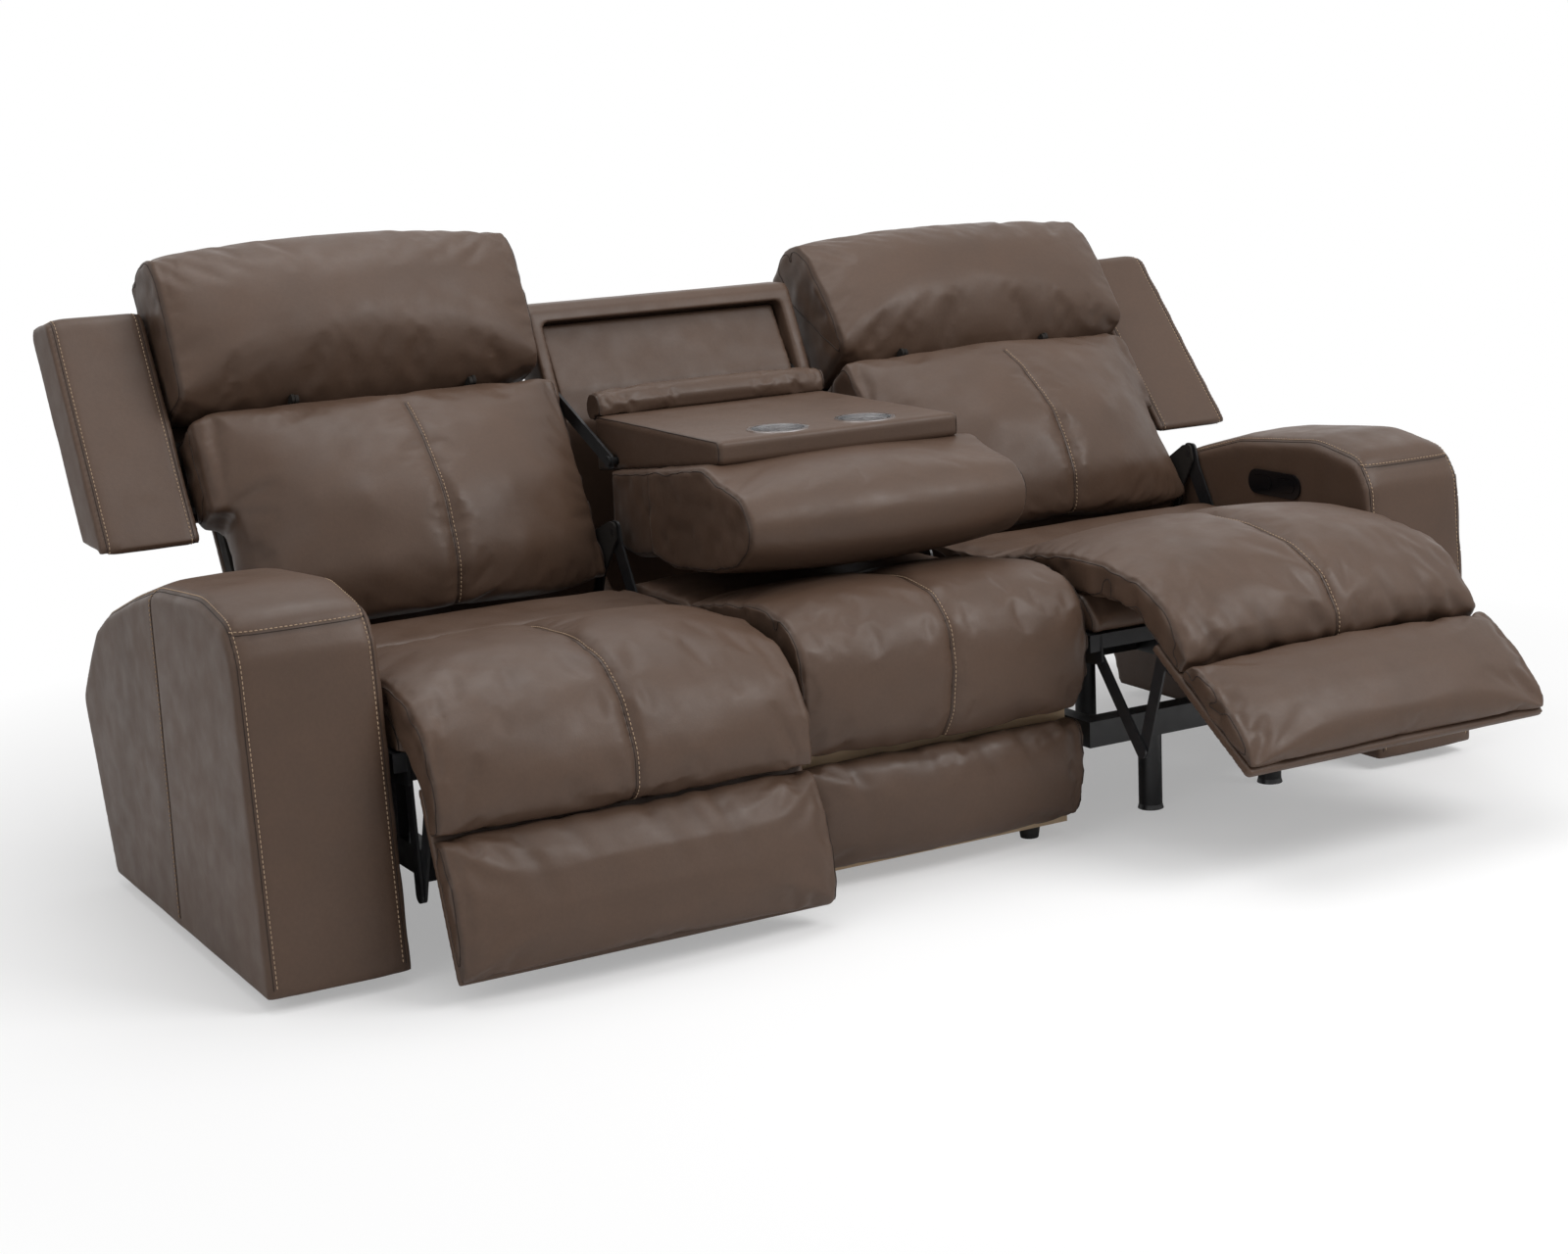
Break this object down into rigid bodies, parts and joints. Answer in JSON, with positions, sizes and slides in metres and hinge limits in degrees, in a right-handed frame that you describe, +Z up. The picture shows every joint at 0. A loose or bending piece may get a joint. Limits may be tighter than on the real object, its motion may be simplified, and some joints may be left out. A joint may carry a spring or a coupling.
{
  "type": "reclining sofa with drop-down console",
  "caption": "Power reclining leather sofa whose middle back folds down into a console tray with cup holders; each end seat has a folding footrest, reclining back and tilting headrest.",
  "frame": {"origin": "centre of the footprint on the floor, under the middle of the whole width and depth", "axes": "+X to the viewer's right along the width, +Y from the front to the back, +Z up"},
  "size_m": [2.24, 1.4548, 1.0137],
  "materials": {
    "leather": "satin",
    "wood": "matte",
    "black_steel": "satin",
    "spring_steel": "satin",
    "cup_steel": "polished",
    "motor_plastic": "matte",
    "foot_plastic": "matte",
    "gloss_black": "gloss"
  },
  "bodies": {
    "frame": {"left_arm_cover": "leather", "left_arm_frame": "wood", "left_control_bezel": "gloss_black", "right_arm_cover": "leather", "right_arm_frame": "wood", "right_control_bezel": "gloss_black", "base_frame": "black_steel", "frame_legs": "black_steel", "glide_feet": "foot_plastic", "middle_seat_frame": "wood", "middle_seat_cushion": "leather", "middle_knee_pad": "leather", "middle_lower_pad": "leather", "console_surround": "leather", "recess_panel": "leather", "console_brackets": "black_steel", "power_supply": "motor_plastic"},
    "left_recline_button": {"left_recline_rocker": "gloss_black"},
    "left_headrest_button": {"left_headrest_rocker": "gloss_black"},
    "left_seat": {"left_seat_frame": "black_steel", "left_seat_springs": "spring_steel", "left_seat_cushion": "leather", "left_knee_pad": "leather", "left_actuator_motor": "motor_plastic"},
    "left_rod": {"left_actuator_rod": "spring_steel"},
    "left_ottoman": {"left_ottoman_board": "wood", "left_lower_pad": "leather", "left_ottoman_brackets": "black_steel"},
    "left_front_link": {"left_front_links": "black_steel"},
    "left_rear_link": {"left_rear_links": "black_steel"},
    "left_back": {"left_back_frame": "wood", "left_back_cushion": "leather", "left_wing": "leather", "left_back_shell": "leather"},
    "left_head": {"left_headrest_cushion": "leather", "left_headrest_frame": "black_steel"},
    "right_recline_button": {"right_recline_rocker": "gloss_black"},
    "right_headrest_button": {"right_headrest_rocker": "gloss_black"},
    "right_seat": {"right_seat_frame": "black_steel", "right_seat_springs": "spring_steel", "right_seat_cushion": "leather", "right_knee_pad": "leather", "right_actuator_motor": "motor_plastic"},
    "right_rod": {"right_actuator_rod": "spring_steel"},
    "right_ottoman": {"right_ottoman_board": "wood", "right_lower_pad": "leather", "right_ottoman_brackets": "black_steel"},
    "right_front_link": {"right_front_links": "black_steel"},
    "right_rear_link": {"right_rear_links": "black_steel"},
    "right_back": {"right_back_frame": "wood", "right_back_cushion": "leather", "right_wing": "leather", "right_back_shell": "leather"},
    "right_head": {"right_headrest_cushion": "leather", "right_headrest_frame": "black_steel"},
    "console": {"console_tray": "leather", "cup_holders": "cup_steel", "console_head_cushion": "leather", "console_back_cushion": "leather", "console_roll": "leather"}
  },
  "joints": [
    {"name": "left_footrest", "type": "hinge", "parent": "left_seat", "child": "left_ottoman", "pos_m": [-0.588, -0.31497, 0.45305], "axis": [-1, 0, 0], "range_deg": [-17, 55], "deforming": ["left_knee_pad"]},
    {"name": "left_seat_glide", "type": "slide", "parent": "frame", "child": "left_seat", "axis": [0, -0.9903, 0.1392], "range_m": [-0.0256, 0.0826]},
    {"name": "left_recline", "type": "hinge", "parent": "left_seat", "child": "left_back", "pos_m": [-0.588, 0.25483, 0.50355], "axis": [-1, 0, 0], "range_deg": [0, 25]},
    {"name": "left_headrest_tilt", "type": "hinge", "parent": "left_back", "child": "left_head", "pos_m": [-0.588, 0.4621, 0.75677], "axis": [1, 0, 0], "range_deg": [-4, 26]},
    {"name": "left_front_link_turn", "type": "hinge", "parent": "left_seat", "child": "left_front_link", "pos_m": [-0.588, -0.26317, 0.29355], "axis": [-1, 0, 0], "range_deg": [-17.1, 55.1]},
    {"name": "left_rear_link_turn", "type": "hinge", "parent": "left_ottoman", "child": "left_rear_link", "pos_m": [-0.588, -0.32638, 0.27616], "axis": [-1, 0, 0], "range_deg": [-55.1, 17.1]},
    {"name": "left_rod_travel", "type": "slide", "parent": "left_seat", "child": "left_rod", "axis": [0, -1, 0], "range_m": [-0.0205, 0.0661]},
    {"name": "left_recline_button_rock", "type": "hinge", "parent": "frame", "child": "left_recline_button", "pos_m": [-0.91, -0.06491, 0.478], "axis": [0, 0, 1], "range_deg": [-4, 4], "stiffness_Nm_per_rad": 0.2},
    {"name": "left_headrest_button_rock", "type": "hinge", "parent": "frame", "child": "left_headrest_button", "pos_m": [-0.91, -0.00291, 0.478], "axis": [0, 0, 1], "range_deg": [-4, 4], "stiffness_Nm_per_rad": 0.2},
    {"name": "right_footrest", "type": "hinge", "parent": "right_seat", "child": "right_ottoman", "pos_m": [0.588, -0.36695, 0.46036], "axis": [-1, 0, 0], "range_deg": [-52, 20], "deforming": ["right_knee_pad"]},
    {"name": "right_seat_glide", "type": "slide", "parent": "frame", "child": "right_seat", "axis": [0, -0.9903, 0.1392], "range_m": [-0.0781, 0.0301]},
    {"name": "right_recline", "type": "hinge", "parent": "right_seat", "child": "right_back", "pos_m": [0.588, 0.20284, 0.51086], "axis": [-1, 0, 0], "range_deg": [-10, 15]},
    {"name": "right_headrest_tilt", "type": "hinge", "parent": "right_back", "child": "right_head", "pos_m": [0.588, 0.45093, 0.72424], "axis": [1, 0, 0], "range_deg": [0, 30]},
    {"name": "right_front_link_turn", "type": "hinge", "parent": "right_seat", "child": "right_front_link", "pos_m": [0.588, -0.31516, 0.30086], "axis": [-1, 0, 0], "range_deg": [-52.1, 20.1]},
    {"name": "right_rear_link_turn", "type": "hinge", "parent": "right_ottoman", "child": "right_rear_link", "pos_m": [0.588, -0.47777, 0.322], "axis": [-1, 0, 0], "range_deg": [-20.1, 52.1]},
    {"name": "right_rod_travel", "type": "slide", "parent": "right_seat", "child": "right_rod", "axis": [0, -1, 0], "range_m": [-0.0625, 0.0241]},
    {"name": "right_recline_button_rock", "type": "hinge", "parent": "frame", "child": "right_recline_button", "pos_m": [0.91, -0.06491, 0.478], "axis": [0, 0, 1], "range_deg": [-4, 4], "stiffness_Nm_per_rad": 0.2},
    {"name": "right_headrest_button_rock", "type": "hinge", "parent": "frame", "child": "right_headrest_button", "pos_m": [0.91, -0.00291, 0.478], "axis": [0, 0, 1], "range_deg": [-4, 4], "stiffness_Nm_per_rad": 0.2},
    {"name": "console_fold", "type": "hinge", "parent": "frame", "child": "console", "pos_m": [0, 0.33509, 0.61], "axis": [-1, 0, 0], "range_deg": [0, 120]}
  ],
  "couplings": [
    {"joint": "left_seat_glide", "follows": "left_footrest", "m_per_rad": 0.085944},
    {"joint": "left_front_link_turn", "follows": "left_footrest", "ratio": 1},
    {"joint": "left_rear_link_turn", "follows": "left_footrest", "ratio": -1},
    {"joint": "left_rod_travel", "follows": "left_footrest", "m_per_rad": 0.068755},
    {"joint": "right_seat_glide", "follows": "right_footrest", "m_per_rad": 0.085944},
    {"joint": "right_front_link_turn", "follows": "right_footrest", "ratio": 1},
    {"joint": "right_rear_link_turn", "follows": "right_footrest", "ratio": -1},
    {"joint": "right_rod_travel", "follows": "right_footrest", "m_per_rad": 0.068755}
  ]
}
